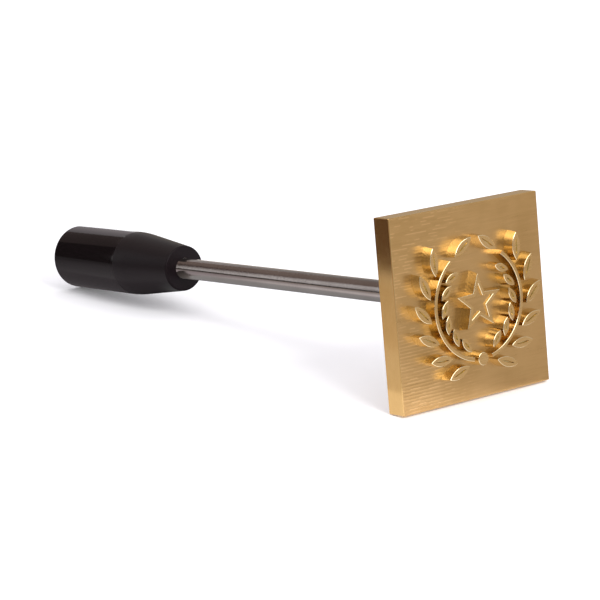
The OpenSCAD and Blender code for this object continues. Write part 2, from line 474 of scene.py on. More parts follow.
@dataclass(frozen=True)
class MilledFloor(CutMetal):
    """Cut metal with bright dashes on the cusps between a cutter's passes, which are a painted
    highlight.

    A dash lies on the cusp nearest to it. Noise that is read at the cusp's number breaks each
    cusp up in its own way. The dashes fade out towards +x, and in one patch they join up.
    """

    pitch: float = 1.4
    cusp_span: Span = (0.05, 0.28)
    dash_cells: Point = (0.16, 0.73, 0.0)
    dash_span: Span = (0.50, 0.58)
    dash_share: float = 0.6
    patch_share: float = 0.55
    fade: Span = (-26.0, 12.0)
    patch_end: Span = (-24.0, -12.0)
    patch_foot: Span = (-27.0, -20.0)
    patch_top: Span = (-13.0, -8.0)

    def tone(self, paint: Paint, lines: Value) -> Value:
        """Adds the dashes, a painted highlight, to the drift of the colour.

        Args:
            paint: the material's graph.
            lines: the tool's lines, from 0 to 1.

        Returns:
            0 for the tarnished tone to 1 for the bright one.
        """
        turn = paint.y / self.pitch
        cusp = turn.math("ROUND", turn)
        off = turn - cusp
        ridge = 1 - off.math("ABSOLUTE", off).ramp(*self.cusp_span)
        row = paint.node("ShaderNodeCombineXYZ", {}, {"X": paint.x, "Y": cusp}).outputs[0]
        dashes = paint.noise(self.dash_cells, detail=1.0, point=row).ramp(*self.dash_span)
        left = 1 - paint.x.ramp(*self.fade)
        beside = 1 - paint.x.ramp(*self.patch_end)
        patch = beside * paint.y.ramp(*self.patch_foot) * (1 - paint.y.ramp(*self.patch_top))
        # Painted highlight: the colour is lighter along the cusps, where they would catch the light. The
        # cusps themselves are real.
        marks = ridge * (dashes * left + self.patch_share * patch).at_most(1.0)
        return (1 - self.dash_share) * super().tone(paint, lines) + self.dash_share * marks


@dataclass(frozen=True)
class Moulding(Finish):
    """Black moulded plastic, polished up to a joint and left as moulded beyond it.

    The colour is mottled as in filled resin. Wide ripples and fine hairlines change the
    roughness, and a very shallow bump gives the moulding's skin.
    """

    name: str
    colour: Colour
    fleck: Colour
    roughness: float
    skin_depth: float
    joint: float
    satin: float = 0.38
    bloom: float = 0.6
    gloss: float = 0.27
    joint_half: float = 0.15
    mottle_cells: Point = (1.1, 1.1, 1.1)
    ripple_cells: Point = (0.09, 0.09, 0.05)
    hairline_cells: Point = (3.0, 3.0, 0.08)
    mottle_span: Span = (0.45, 0.75)
    mottle_bump: float = 0.05
    hairline_spread: float = 0.05
    ripple_spread: float = 0.04

    def material(self, place: ToolFrame) -> bpy.types.Material:
        """Makes the material.

        Args:
            place: the frame that the tool lies in.

        Returns:
            The material.
        """
        paint = Paint(self.name, place)
        mottle = paint.noise(self.mottle_cells, detail=4.0)
        ripple = paint.noise(self.ripple_cells)
        hairline = paint.noise(self.hairline_cells)
        beyond = paint.z.ramp(self.joint - self.joint_half, self.joint + self.joint_half)
        pale = (mottle.ramp(*self.mottle_span) + self.bloom * beyond).at_most(1.0)
        polish = self.roughness + (self.satin - self.roughness) * beyond
        hairs = self.hairline_spread * (hairline - 0.5)
        paint.bump(ripple + self.mottle_bump * mottle, self.skin_depth)
        return paint.surface(
            Base_Color=paint.blend(pale, self.colour, self.fleck),
            Roughness=polish + hairs + self.ripple_spread * (ripple - 0.5),
            Specular_IOR_Level=self.gloss,
        )


# Pieces

def placed(name: str, data: bpy.types.ID) -> bpy.types.Object:
    """Makes an object and links it to the scene.

    Args:
        name: the object's name.
        data: its mesh, lamp or camera.

    Returns:
        The object.
    """
    made = bpy.data.objects.new(name, data)
    bpy.context.scene.collection.objects.link(made)
    return made


def hide(thing: bpy.types.Object, *rays: str) -> None:
    """Hides an object from some kinds of rays."""
    for ray in rays:
        setattr(thing, f"visible_{ray}", False)


class Piece:
    """Puts surfaces into the scene as pieces that ride on the tool's one body."""

    def __init__(self, place: ToolFrame) -> None:
        """Keeps the tool's frame and an empty store of materials."""
        self.place = place
        self.store: dict[Finish, bpy.types.Material] = {}

    def dressed(self, finish: Finish) -> bpy.types.Material:
        """Makes a finish's material once.

        Args:
            finish: the finish.

        Returns:
            Its material.
        """
        if finish not in self.store:
            self.store[finish] = finish.material(self.place)
        return self.store[finish]

    def add(self, name: str, skin: Skin, finishes: Sequence[Finish], slot: str, node: str | None = None,
            sharp: float = 30.0) -> bpy.types.Object:
        """Makes a piece.

        Args:
            name: the piece's name.
            skin: its surface in the tool's frame.
            finishes: the finishes that the surface's numbers stand for.
            slot: the record's material slot; not used.
            node: the solid that the piece stands for, if any.
            sharp: angle in degrees over which an edge is shaded sharp.

        Returns:
            The piece's object.
        """
        points, faces, finish = skin.welded()
        mesh = bpy.data.meshes.new(name)
        mesh.from_pydata(self.place.to_row(points), [], faces)
        mesh.polygons.foreach_set("material_index", finish.astype(np.int32))
        for one in finishes:
            mesh.materials.append(self.dressed(one))
        shell = bmesh.new()
        shell.from_mesh(mesh)
        bmesh.ops.recalc_face_normals(shell, faces=shell.faces)
        shell.to_mesh(mesh)
        shell.free()
        mesh.shade_smooth()
        mesh.set_sharp_from_angle(angle=math.radians(sharp))
        piece = placed(name, mesh)
        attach(piece, BODY)
        if node:
            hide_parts(node)
        log.info("%s: %d points, %d faces", name, len(mesh.vertices), len(mesh.polygons))
        return piece


# The milled floor's colour also carries the painted highlight of its cusps.
BRASS_FLOOR_GLINTS = MilledFloor("brass_milled_floor", (0.85, 0.555, 0.265), (0.615, 0.385, 0.16), 0.30,
                          Grain.ACROSS, 0.014)
BRASS_TOP = CutMetal("brass_faced_top", (0.78, 0.515, 0.235), (0.70, 0.45, 0.19), 0.28,
                     Grain.ACROSS, 0.006)
# Paler and lighter than the floor's brass: painted light that lifts the walls' shade and the deep orange
# of their reflections in each other. The grain of the cutter's side is real.
BRASS_WALL_LIGHTENED = CutMetal("brass_cut_wall", (0.79, 0.645, 0.375), (0.66, 0.54, 0.275), 0.19,
                      Grain.ROUND_WALL, 0.020)
# Paler than the brass: a painted glint, the light that the broken edges would catch, laid into their
# colour.
BRASS_EDGE_GLINT = CutMetal("brass_broken_edge", (0.95, 0.82, 0.56), (0.90, 0.74, 0.46), 0.22,
                      Grain.EVEN, 0.004)
BRASS_SIDE = CutMetal("brass_faced_side", (0.75, 0.49, 0.205), (0.70, 0.45, 0.18), 0.13,
                      Grain.FACED, 0.003, 0.04)
BRASS_TURNED = CutMetal("brass_turned", (0.64, 0.42, 0.16), (0.58, 0.38, 0.14), 0.25,
                        Grain.ROUND_WALL, 0.010)
STEEL_BAR = CutMetal("steel_ground_bar", (0.405, 0.365, 0.35), (0.36, 0.32, 0.305), 0.13,
                     Grain.ROUND_BAR, 0.030, 0.04)
STEEL_THREAD = CutMetal("steel_thread", (0.36, 0.33, 0.31), (0.28, 0.25, 0.23), 0.30,
                        Grain.EVEN, 0.006)
ZINC = CutMetal("steel_zinc_plate", (0.60, 0.60, 0.57), (0.50, 0.50, 0.48), 0.27,
                Grain.EVEN, 0.006, 0.10, 0.12)
PHENOLIC = Moulding("phenolic_polished", (0.0050, 0.0035, 0.0036), (0.0084, 0.0047, 0.0063), 0.10, 0.012,
                    joint=-242.0)
PHENOLIC_FRONT = replace(PHENOLIC, name="phenolic_faced_front", gloss=0.11)


@dataclass
class Relief:
    """What stands on the die's floor: a wreath of leaves on two stems, a bud and a star.

    Every form has drafted walls that spread towards the floor, a broken top edge and a foot
    that is sunk in the plate. A ring of a form at height z is its top outline moved outwards
    by (face - z) tan(draft).
    """

    floor: float
    height: float = 5.3
    draft: float = 4.0
    sunk: float = 0.5
    edge: float = 0.16
    wreath_radius: float = 24.0
    stem_width: float = 1.6
    gap_angle: float = 72.0
    bare_stem: float = 17.0
    floor_gap: float = 1.4
    pairs: int = 6
    outer_leaf: Span = (12.0, 4.4)
    inner_leaf: Span = (8.0, 3.4)
    splay: float = 36.0
    rib_width: float = 0.8
    rib_depth: float = 0.7
    rib_margin: float = 2.2
    rib_root: float = 0.2
    rib_taper: float = 0.8
    bud_radius: float = 2.8
    bud_segments: int = 64
    star_radius: float = 12.5
    star_waist: float = 5.4
    star_points: int = 5
    star_rim: float = 1.6
    star_sink: float = 0.9
    leaf_steps: int = 24
    stem_steps: int = 72

    # EDGE strips are dressed with the painted glint of the broken edges, and WALL strips with brass
    # lightened by painted light.
    TOP, WALL, SUNK, EDGE = 0, 1, 2, 3
    FINISHES = (BRASS_TOP, BRASS_WALL_LIGHTENED, BRASS_FLOOR_GLINTS, BRASS_EDGE_GLINT)

    @property
    def face(self) -> float:
        """Height of the branding face."""
        return self.floor + self.height

    @property
    def slope(self) -> float:
        """Outward step of a wall per millimetre down."""
        return math.tan(math.radians(self.draft))

    @property
    def island_gap(self) -> float:
        """Distance between two top outlines whose walls leave some floor between them."""
        return 2 * (self.height + self.sunk) * self.slope + self.floor_gap

    def levels(self) -> list[Span]:
        """Sets out the rings of a wall.

        Returns:
            The outward step and the height of each ring, from the foot to the rim.
        """
        foot = self.floor - self.sunk
        shoulder = self.face - self.edge
        return [
            ((self.face - foot) * self.slope, foot),
            ((self.face - shoulder) * self.slope, shoulder),
            (-self.edge, self.face),
        ]

    @staticmethod
    def oval_side(size: Span, grow: float, height: float, side: int, steps: int) -> np.ndarray:
        """One side of a pointed oval that lies along x about the origin.

        Its arc has the radius r = (length^2 + width^2) / (4 width) + grow about a centre at
        y = -side (r - width / 2), and runs between the two points where the arcs cross.

        Args:
            size: length and width of the oval before it grows.
            grow: outward step of both arcs.
            height: height of the points.
            side: 1 for the side towards +y, or -1.
            steps: steps along the arc.

        Returns:
            The points from the oval's start to its end.
        """
        length, width = size
        base = (length * length + width * width) / (4 * width)
        offset = base - width / 2
        reach = math.acos(offset / (base + grow))
        angle = np.linspace(-reach, reach, steps + 1)
        x = (base + grow) * np.sin(angle)
        y = side * ((base + grow) * np.cos(angle) - offset)
        return np.stack([x, y, np.full_like(x, height)], -1)

    def leaf(self, size: Span) -> tuple[np.ndarray, list[int]]:
        """Works out a leaf from the origin along x, with a groove along its rib.

        The rows run over one side's wall, rim and top into the groove and out of it over the
        other side, so the last row meets the first under the leaf.

        Args:
            size: length and width of the leaf's top.

        Returns:
            The grid of points and the finish of each strip, the closing one included.
        """
        groove = (size[0] - 2 * self.rib_margin, self.rib_width)
        root = (groove[0] * self.rib_taper, self.rib_root)
        rings = [(size, grow, height) for grow, height in self.levels()]
        rings += [(groove, 0.0, self.face), (root, 0.0, self.face - self.rib_depth)]
        sides = [
            [self.oval_side(*ring, side, self.leaf_steps) for ring in rings]
            for side in (1, -1)
        ]
        grid = np.stack(sides[0] + sides[1][::-1])
        grid[..., 0] += size[0] / 2
        strips = [self.WALL, self.EDGE, self.TOP, self.WALL]
        return grid, strips + [self.WALL] + strips[::-1] + [self.WALL]

    def stem(self, start: float, end: float) -> Skin:
        """Carries the stem's section round the wreath's circle from one angle to another.

        Args:
            start: first angle in degrees.
            end: last angle in degrees.

        Returns:
            The surface, closed at both ends.
        """
        half = self.stem_width / 2
        outer = [(half + grow, height) for grow, height in self.levels()]
        section = np.array(outer + [(-r, z) for r, z in outer[::-1]])
        middle = section.mean(0)
        angle = np.radians(np.linspace(start, end, self.stem_steps + 1))
        ends = np.concatenate([angle[:1], angle, angle[-1:]])
        profile = np.broadcast_to(section, (len(ends), *section.shape)).copy()
        profile[[0, -1]] = middle
        radius = self.wreath_radius + profile[..., 0]
        grid = polar(radius, ends[:, None], profile[..., 1])
        strips = [self.WALL, self.EDGE, self.TOP, self.EDGE, self.WALL, self.WALL]
        return Skin.from_grid(grid.transpose(1, 0, 2), strips, wrap_rows=True)

    def wreath_side(self) -> Skin:
        """Sets out the right-hand stem, its pairs of leaves and the leaf beyond its end.

        Returns:
            The surface, in which each form is closed.
        """
        reach = (self.bud_radius + self.island_gap) / (2 * self.wreath_radius)
        start = math.degrees(2 * math.asin(reach)) - 90
        first = self.bare_stem - 90
        last = 90 - self.gap_angle / 2
        offset = self.stem_width / 2 + self.island_gap
        angles = first + (last - first) / self.pairs * np.arange(self.pairs)
        outer, strips = self.leaf(self.outer_leaf)
        inner, _ = self.leaf(self.inner_leaf)
        places = [(outer, self.wreath_radius + offset, 0.0, 90 - self.splay, a) for a in angles]
        places += [(inner, self.wreath_radius - offset, 0.0, 90 + self.splay, a) for a in angles]
        places.append((outer, self.wreath_radius, offset, 90.0, last))
        leaves = [
            turned(turned(grid, lean) + np.array((out, on, 0.0)), angle)
            for grid, out, on, lean, angle in places
        ]
        skins = [Skin.from_grid(grid, strips, wrap_rows=True) for grid in leaves]
        return Skin.join([self.stem(start, last), *skins])

    def wreath(self) -> Skin:
        """Mirrors one side of the wreath in x for the other.

        Returns:
            The surface of both sides.
        """
        right = self.wreath_side()
        left = Skin(right.points * np.array((-1.0, 1.0, 1.0)), right.faces, right.finish)
        return Skin.join([right, left])

    def bud(self) -> Skin:
        """Turns the bud at the foot of the wreath, a round form with drafted walls.

        Returns:
            The closed surface.
        """
        rings = [(self.bud_radius + grow, height) for grow, height in self.levels()]
        foot, top = rings[0][1], rings[-1][1]
        profile = np.array([(0.0, foot), *rings, (0.0, top)])
        skin = revolved(profile, [self.WALL, self.WALL, self.EDGE, self.TOP], self.bud_segments)
        skin.points = skin.points - np.array((0.0, self.wreath_radius, 0.0))
        return skin

    def star(self) -> Skin:
        """Draws the star with its rim and sunk middle.

        All its walls lie as far from the centre, so the scale 1 + step / distance moves each
        of them by the same step.

        Returns:
            The closed surface.
        """
        corner = np.arange(2 * self.star_points)
        angle = corner * math.pi / self.star_points
        radius = np.where(corner % 2 == 0, self.star_radius, self.star_waist)
        outline = np.stack([radius * np.sin(angle), radius * np.cos(angle)], -1)
        side = outline[1] - outline[0]
        distance = abs(outline[0, 0] * side[1] - outline[0, 1] * side[0]) / np.linalg.norm(side)
        bottom = self.face - self.star_sink
        steps = [
            (-distance, self.floor - self.sunk), *self.levels(),
            (self.edge - self.star_rim, self.face), (-self.star_rim, self.face - self.edge),
            (-self.star_rim, bottom), (-distance, bottom),
        ]
        grid = np.stack([
            np.insert(outline * (1 + step / distance), 2, height, axis=1) for step, height in steps
        ])
        strips = [self.WALL, self.WALL, self.EDGE, self.TOP, self.EDGE, self.WALL, self.SUNK]
        return Skin.from_grid(grid, strips, wrap_columns=True)

    def build(self, pieces: Piece) -> None:
        """Adds the wreath, the bud and the star.

        Args:
            pieces: what puts surfaces into the scene.
        """
        pieces.add("wreath_relief", self.wreath(), self.FINISHES, "die_brass")
        pieces.add("bud_relief", self.bud(), self.FINISHES, "die_brass")
        pieces.add("star_relief", self.star(), self.FINISHES, "die_brass")


@dataclass
class Die:
    """Square brass plate with a milled floor, chamfered edges and a tapped hole in its back."""

    side: float = 83.0
    floor: float = 9.7
    chamfer: float = 0.3
    hole_radius: float = 4.95
    mouth_chamfer: float = 0.6
    hole_depth: float = 8.0
    hole_point: float = 1.2
    mark_depth: float = 0.030
    mark_least: float = 0.12
    mark_border: float = 1.0
    columns: int = 84
    rows_per_mark: int = 8
    relief: Relief = field(init=False)

    FLOOR, SIDE = 0, 1
    FINISHES = (BRASS_FLOOR_GLINTS, BRASS_SIDE)

    def __post_init__(self) -> None:
        """Stands the relief on the floor."""
        self.relief = Relief(self.floor)

    def cutter_marks(self, x: np.ndarray, y: np.ndarray) -> np.ndarray:
        """Height of the cusps that the cutter left between its passes.

        Across a pass the cusp is the parabola (2 t - 1)^2, with t from 0 to 1. It is high on the
        left, as the floor's finish says, and runs out at the plate's edges.

        Args:
            x: places across the die.
            y: places up the die.

        Returns:
            The height over the floor.
        """
        turn = y / BRASS_FLOOR_GLINTS.pitch
        cusp = (2 * (turn - np.floor(turn)) - 1) ** 2
        left = 1 - smooth_step(*BRASS_FLOOR_GLINTS.fade, x)
        strength = self.mark_least + (1 - self.mark_least) * left
        edge = self.side / 2 - self.chamfer - np.maximum(np.abs(x), np.abs(y))
        return self.mark_depth * cusp * strength * smooth_step(0.0, self.mark_border, edge)

    def plate(self) -> Skin:
        """Draws the plate.

        The floor is a grid with the cutter's marks. Its border is then carried over the
        chamfer, down the sides and in to the hole: each side of a ring is the floor's border
        moved out by the chamfer, which also cuts the four corners, or drawn in to a circle.

        Returns:
            The closed surface.
        """
        reach = self.side / 2 - self.chamfer
        rows = self.rows_per_mark * int(self.side / BRASS_FLOOR_GLINTS.pitch)
        x = np.linspace(-reach, reach, self.columns)
        y = np.linspace(-reach, reach, rows)
        grid_x, grid_y = np.meshgrid(x, y, indexing="ij")
        grid = np.stack([grid_x, grid_y, self.floor + self.cutter_marks(grid_x, grid_y)], -1)
        border = np.concatenate([grid[:, 0], grid[-1, :], grid[::-1, -1], grid[0, ::-1]])[:, :2]
        counts = [len(x), len(y), len(x), len(y)]
        outward = np.repeat([(0.0, -1.0), (1.0, 0.0), (0.0, 1.0), (-1.0, 0.0)], counts, axis=0)
        spread = border + self.chamfer * outward
        circle = border / np.linalg.norm(border, axis=1, keepdims=True)
        mouth = self.hole_radius + self.mouth_chamfer
        rings = [
            (border, self.floor),
            (spread, self.floor - self.chamfer),
            (spread, self.chamfer),
            (border, 0.0),
            (circle * mouth, 0.0),
            (circle * self.hole_radius, self.mouth_chamfer),
            (circle * self.hole_radius, self.hole_depth),
            (circle * 0.0, self.hole_depth + self.hole_point),
        ]
        edges = np.stack([np.insert(ring, 2, height, axis=1) for ring, height in rings])
        return Skin.join([
            Skin.from_grid(grid, self.FLOOR),
            Skin.from_grid(edges, self.SIDE, wrap_columns=True),
        ])

    def build(self, pieces: Piece) -> None:
        """Adds the plate and its relief."""
        pieces.add("die_block", self.plate(), self.FINISHES, "die_brass", "die_plate")
        self.relief.build(pieces)


@dataclass
class Rod:
    """Ground steel bar with a coarse thread on each end, locked by a nut and a spring washer."""

    diameter: float = 10.0
    thread_diameter: float = 9.8
    pitch: float = 1.5
    thread_depth: float = 0.82
    thread_flat: float = 0.1
    thread_gap: float = 0.1
    die_end: float = 7.4
    front_thread: float = -11.2
    rear_thread: float = -209.5
    handle_end: float = -229.5
    end_chamfer: float = 1.2
    nut_flats: float = 17.0
    nut_height: float = 5.0
    nut_face: float = 0.97
    nut_hole_radius: float = 4.95
    nut_sink: float = 0.5
    nut_cone: float = 30.0
    nut_steps: int = 16
    washer_diameter: float = 18.1
    washer_hole_radius: float = 5.1
    washer_height: float = 2.2
    washer_split: float = 1.2
    washer_slant: float = 20.0
    washer_edge: float = 0.25
    segments: int = 96
    steps_per_turn: int = 12
    sharp: float = 40.0

    BAR, THREAD = 0, 1

    def thread_heights(self, low: float, high: float) -> np.ndarray:
        """Returns heights through a thread, close enough together to draw its turns."""
        return np.arange(low, high, self.pitch / self.steps_per_turn)

    def bar(self) -> Skin:
        """Draws the rod as the radius r(t, z) round the axis.

        On the plain part r is half the diameter. On a thread it is the crest's radius less
        the depth times a trapezium wave of z / pitch - t / (2 pi), which runs out over the
        last turn, and both ends are turned off by their chamfers. A row of radius 0 closes
        each end.

        Returns:
            The closed surface.
        """
        front = self.thread_heights(self.front_thread, self.die_end)
        rear = self.thread_heights(self.handle_end, self.rear_thread)
        low, high = self.rear_thread + self.thread_gap, self.front_thread - self.thread_gap
        plain = np.array([self.rear_thread, low, high])
        height = np.concatenate([rear, plain, front, [self.die_end]])
        threaded = (height < self.rear_thread) | (height >= self.front_thread)
        crest = np.where(threaded, self.thread_diameter / 2, self.diameter / 2)
        from_end = np.minimum(height - self.handle_end, self.die_end - height)
        crest = np.minimum(crest, self.thread_diameter / 2 - self.end_chamfer + from_end)
        into = np.maximum(height - self.front_thread, self.rear_thread - height)
        depth = self.thread_depth * np.clip(into / self.pitch, 0.0, 1.0)
        angle = circle_angles(self.segments)
        turn = height[:, None] / self.pitch - angle / (2 * math.pi)
        wave = np.abs(2 * (turn - np.floor(turn)) - 1)
        valley = np.clip((wave - self.thread_flat) / (1 - 2 * self.thread_flat), 0.0, 1.0)
        root = self.thread_diameter / 2 - depth[:, None] * valley
        radius = np.where(threaded[:, None], np.minimum(crest[:, None], root), crest[:, None])
        rows = np.pad(height, 1, mode="edge")
        grid = polar(np.pad(radius, ((1, 1), (0, 0))), angle, rows[:, None])
        strips = np.where(np.pad(threaded, (1, 0), mode="edge"), self.THREAD, self.BAR)
        return Skin.from_grid(grid, strips, wrap_columns=True)

    def nut(self) -> Skin:
        """Draws the nut between its washer and the thread left showing.

        Its flats lie at r(t) = (flats / 2) / cos(t mod 60 - 30 degrees). A cone turns off the
        corners of both faces, and the hole is countersunk.

        Returns:
            The closed surface.
        """
        low, high = -self.washer_height - self.nut_height, -self.washer_height
        angle = circle_angles(6 * self.nut_steps)
        hexagon = self.nut_flats / 2 / np.cos(np.mod(angle, math.pi / 3) - math.pi / 6)
        face = np.full_like(angle, self.nut_flats / 2 * self.nut_face)
        drop = (hexagon - face) * math.tan(math.radians(self.nut_cone))
        hole = np.full_like(angle, self.nut_hole_radius)
        half = [(hole, self.nut_sink), (hole + self.nut_sink, 0.0), (face, 0.0), (hexagon, drop)]
        rings = [(r, low + z) for r, z in half] + [(r, high - z) for r, z in half[::-1]]
        grid = np.stack([polar(r, angle, z) for r, z in rings])
        return Skin.from_grid(grid, 0, wrap_rows=True, wrap_columns=True)

    def washer(self) -> Skin:
        """Carries the washer's section round the rod from one side of its slanted split to the other.

        The split's middle at height z lies at y = (middle - z) tan(slant), so a point of the
        section at radius r starts and ends at the angles whose sines are y / r plus or minus
        half the split's width over r.

        Returns:
            The closed surface.
        """
        inner, outer = self.washer_hole_radius, self.washer_diameter / 2
        low, edge = -self.washer_height, self.washer_edge
        half = [(inner, edge), (inner + edge, 0.0), (outer - edge, 0.0), (outer, edge)]
        section = np.array([(r, low + z) for r, z in half] + [(r, -z) for r, z in half[::-1]])
        section = np.stack([np.broadcast_to(section.mean(0), section.shape), section])
        radius, height = section[..., 0], section[..., 1]
        slant = math.radians(self.washer_slant)
        middle = (-self.washer_height / 2 - height) * math.tan(slant)
        gap = self.washer_split / 2 / math.cos(slant)
        start = np.arcsin((middle + gap) / radius)
        end = 2 * math.pi + np.arcsin((middle - gap) / radius)
        share = np.linspace(0.0, 1.0, self.segments + 1)
        around = start[1] + (end[1] - start[1]) * share[:, None]
        around = np.concatenate([start[:1], around, end[:1]])
        order = [0] + [1] * len(share) + [0]
        grid = polar(radius[order], around, height[order])
        return Skin.from_grid(grid.transpose(1, 0, 2), 0, wrap_rows=True)

    def build(self, pieces: Piece) -> None:
        """Adds the bar, the nut and the washer.

        Args:
            pieces: what puts surfaces into the scene.
        """
        pieces.add("rod_bar", self.bar(), (STEEL_BAR, STEEL_THREAD), "ground_steel", "rod", self.sharp)
        pieces.add("hexagon_nut", self.nut(), (ZINC,), "zinc_steel", "lock_nut")
        pieces.add("spring_washer", self.washer(), (ZINC,), "zinc_steel", "lock_washer")


@dataclass
class Handle:
    """Moulded grip: a straight barrel that blends into a tapered nose, bored for the rod."""

    barrel_radius: float = 15.8
    nose_radius: float = 11.1
    nose_front: float = -201.5
    nose_length: float = 37.0
    barrel_length: float = 58.6
    blend_radius: float = 90.0
    rear_edge: float = 1.3
    nose_edge: float = 1.0
    front_reach: float = 0.75
    bore_radius: float = 5.1
    bore_depth: float = 8.0
    insert_radius: float = 7.52
    insert_length: float = 22.02

    SKIN, FRONT = 0, 1
    FINISHES = (PHENOLIC, PHENOLIC_FRONT)

    def outline(self) -> np.ndarray:
        """Draws the half section of the grip.

        Returns:
            Radii and heights, from the middle of its rear end to the bottom of its bore.
        """
        joint = self.nose_front - self.nose_length
        rear = joint - self.barrel_length
        drop = self.barrel_radius - self.nose_radius
        lean = math.atan2(drop, self.nose_length)
        taper = math.degrees(lean)
        run = self.blend_radius * math.tan(lean / 2)
        edge = self.rear_edge
        front = self.nose_edge
        front_radius = self.nose_radius + front * (math.tan(lean) - 1 / math.cos(lean))
        bottom = self.nose_front - self.bore_depth
        return np.concatenate([
            [(0.0, rear)],
            arc((self.barrel_radius - edge, rear + edge), edge, -90.0, 0.0),
            arc((self.barrel_radius - self.blend_radius, joint - run), self.blend_radius, 0.0, taper),
            arc((front_radius, self.nose_front - front), front, taper, 90.0),
            [
                (self.bore_radius, self.nose_front),
                (self.bore_radius, bottom),
                (self.insert_radius, bottom),
                (self.insert_radius, bottom - self.insert_length),
                (0.0, bottom - self.insert_length),
            ],
        ])

    def build(self, pieces: Piece) -> None:
        """Adds the grip, which the bright rod doesn't mirror, and dresses the insert inside it.

        The front's own finish reaches over part of the nose's rounded edge.

        Args:
            pieces: what puts surfaces into the scene.
        """
        profile = self.outline()
        line = self.nose_front - self.front_reach * self.nose_edge
        strips = np.where(profile[1:, 1] > line, self.FRONT, self.SKIN)
        skin = revolved(profile, strips)
        grip = pieces.add("grip_moulding", skin, self.FINISHES, "black_phenolic", "handle")
        hide(grip, "glossy")
        insert = frame["nodes"]["handle_insert"]
        insert.data.materials.clear()
        insert.data.materials.append(pieces.dressed(BRASS_TURNED))
        log.info("handle_insert: dressed")


# Studio

@dataclass(frozen=True)
class ViewPoint:
    """Camera of the photograph, as a look at a point from a distance, with a slight roll."""

    target: Point = (0.031089, 0.0, 0.023228)
    distance: float = 1.124733
    azimuth: float = 52.446
    elevation: float = 13.317
    roll: float = -1.9525
    lens: float = 146.34
    sensor: float = 36.0

    def build(self) -> None:
        """Makes the camera and hands it to the scene."""
        turn, rise, roll = (math.radians(a) for a in (self.azimuth, self.elevation, self.roll))
        level = np.array((math.cos(turn), math.sin(turn), 0.0))
        flat = math.cos(rise)
        back = np.array((math.sin(turn) * flat, -math.cos(turn) * flat, math.sin(rise)))
        upright = np.cross(back, level)
        right = math.cos(roll) * level + math.sin(roll) * upright
        top = math.cos(roll) * upright - math.sin(roll) * level
        place = np.array(self.target) + self.distance * back
        data = bpy.data.cameras.new("photo_camera")
        data.lens, data.sensor_width = self.lens, self.sensor
        camera = placed("photo_camera", data)
        pose = np.eye(4)
        pose[:3] = np.stack([right, top, back, place], -1)
        camera.matrix_world = Matrix(pose.tolist())
        bpy.context.scene.camera = camera


@dataclass(frozen=True)
class Softbox:
    """Square area light that points at the tool, and that one kind of ray doesn't see."""

    name: str
    place: Point
    size: float
    power: float
    unseen_by: str
    target: Point = (0.0, 0.0, 0.03)

    def build(self) -> None:
        """Makes the light, which the camera doesn't see either."""
        data = bpy.data.lights.new(self.name, "AREA")
        data.size, data.energy = self.size, self.power
        light = placed(self.name, data)
        towards = Vector(self.target) - Vector(self.place)
        turn = towards.to_track_quat("-Z", "Y").to_matrix().to_4x4()
        light.matrix_world = Matrix.Translation(self.place) @ turn
        hide(light, "camera", self.unseen_by)


@dataclass(frozen=True)
class Card:
    """Flat card that only shiny surfaces see, as a photographer sets up beside metal. A few of them are
    painted shade or a painted reflection instead.

    It spans corner + s along + t rise for s and t from 0 to 1, and its tone runs from near at
    t = 0 to far at t = 1 as t to the power of bend.
    """

    name: str
    corner: Point
    along: Point
    rise: Point
    near: Colour
    far: Colour | None = None
    bend: float = 1.0

    def build(self) -> None:
        """Makes the card, which gives no light and casts no shadow."""
        corner, along, rise = (np.array(v) for v in (self.corner, self.along, self.rise))
        mesh = bpy.data.meshes.new(self.name)
        corners = [corner, corner + along, corner + along + rise, corner + rise]
        mesh.from_pydata(corners, [], [(0, 1, 2, 3)])
        layer = mesh.uv_layers.new(name="card")
        layer.data.foreach_set("uv", [0.0, 0.0, 1.0, 0.0, 1.0, 1.0, 0.0, 1.0])
        material = bpy.data.materials.new(self.name)
        material.use_nodes = True
        material.cycles.emission_sampling = "NONE"
        graph = Graph(material.node_tree)
        tone: Any = (*self.near, 1.0)
        if self.far:
            place = graph.node("ShaderNodeUVMap", {"uv_map": "card"}).outputs[0]
            share = Value(graph, graph.node("ShaderNodeSeparateXYZ", {}, {0: place}).outputs["Y"])
            tone = graph.blend(share.math("POWER", share, self.bend), self.near, self.far)
        glow = graph.node("ShaderNodeEmission", {}, {"Color": tone})
        graph.node("ShaderNodeOutputMaterial", {}, {"Surface": glow.outputs[0]})
        mesh.materials.append(material)
        card = placed(self.name, mesh)
        hide(card, "camera", "diffuse", "transmission", "volume_scatter", "shadow")


def lying(name: str, corner: Span, along: Span, rise: Span, *tones: Any) -> Card:
    """Returns a card that lies just over the table, set out in x and y, with tones as on any card."""
    return Card(name, (*corner, CARD_LIFT), (*along, 0.0), (*rise, 0.0), *tones)


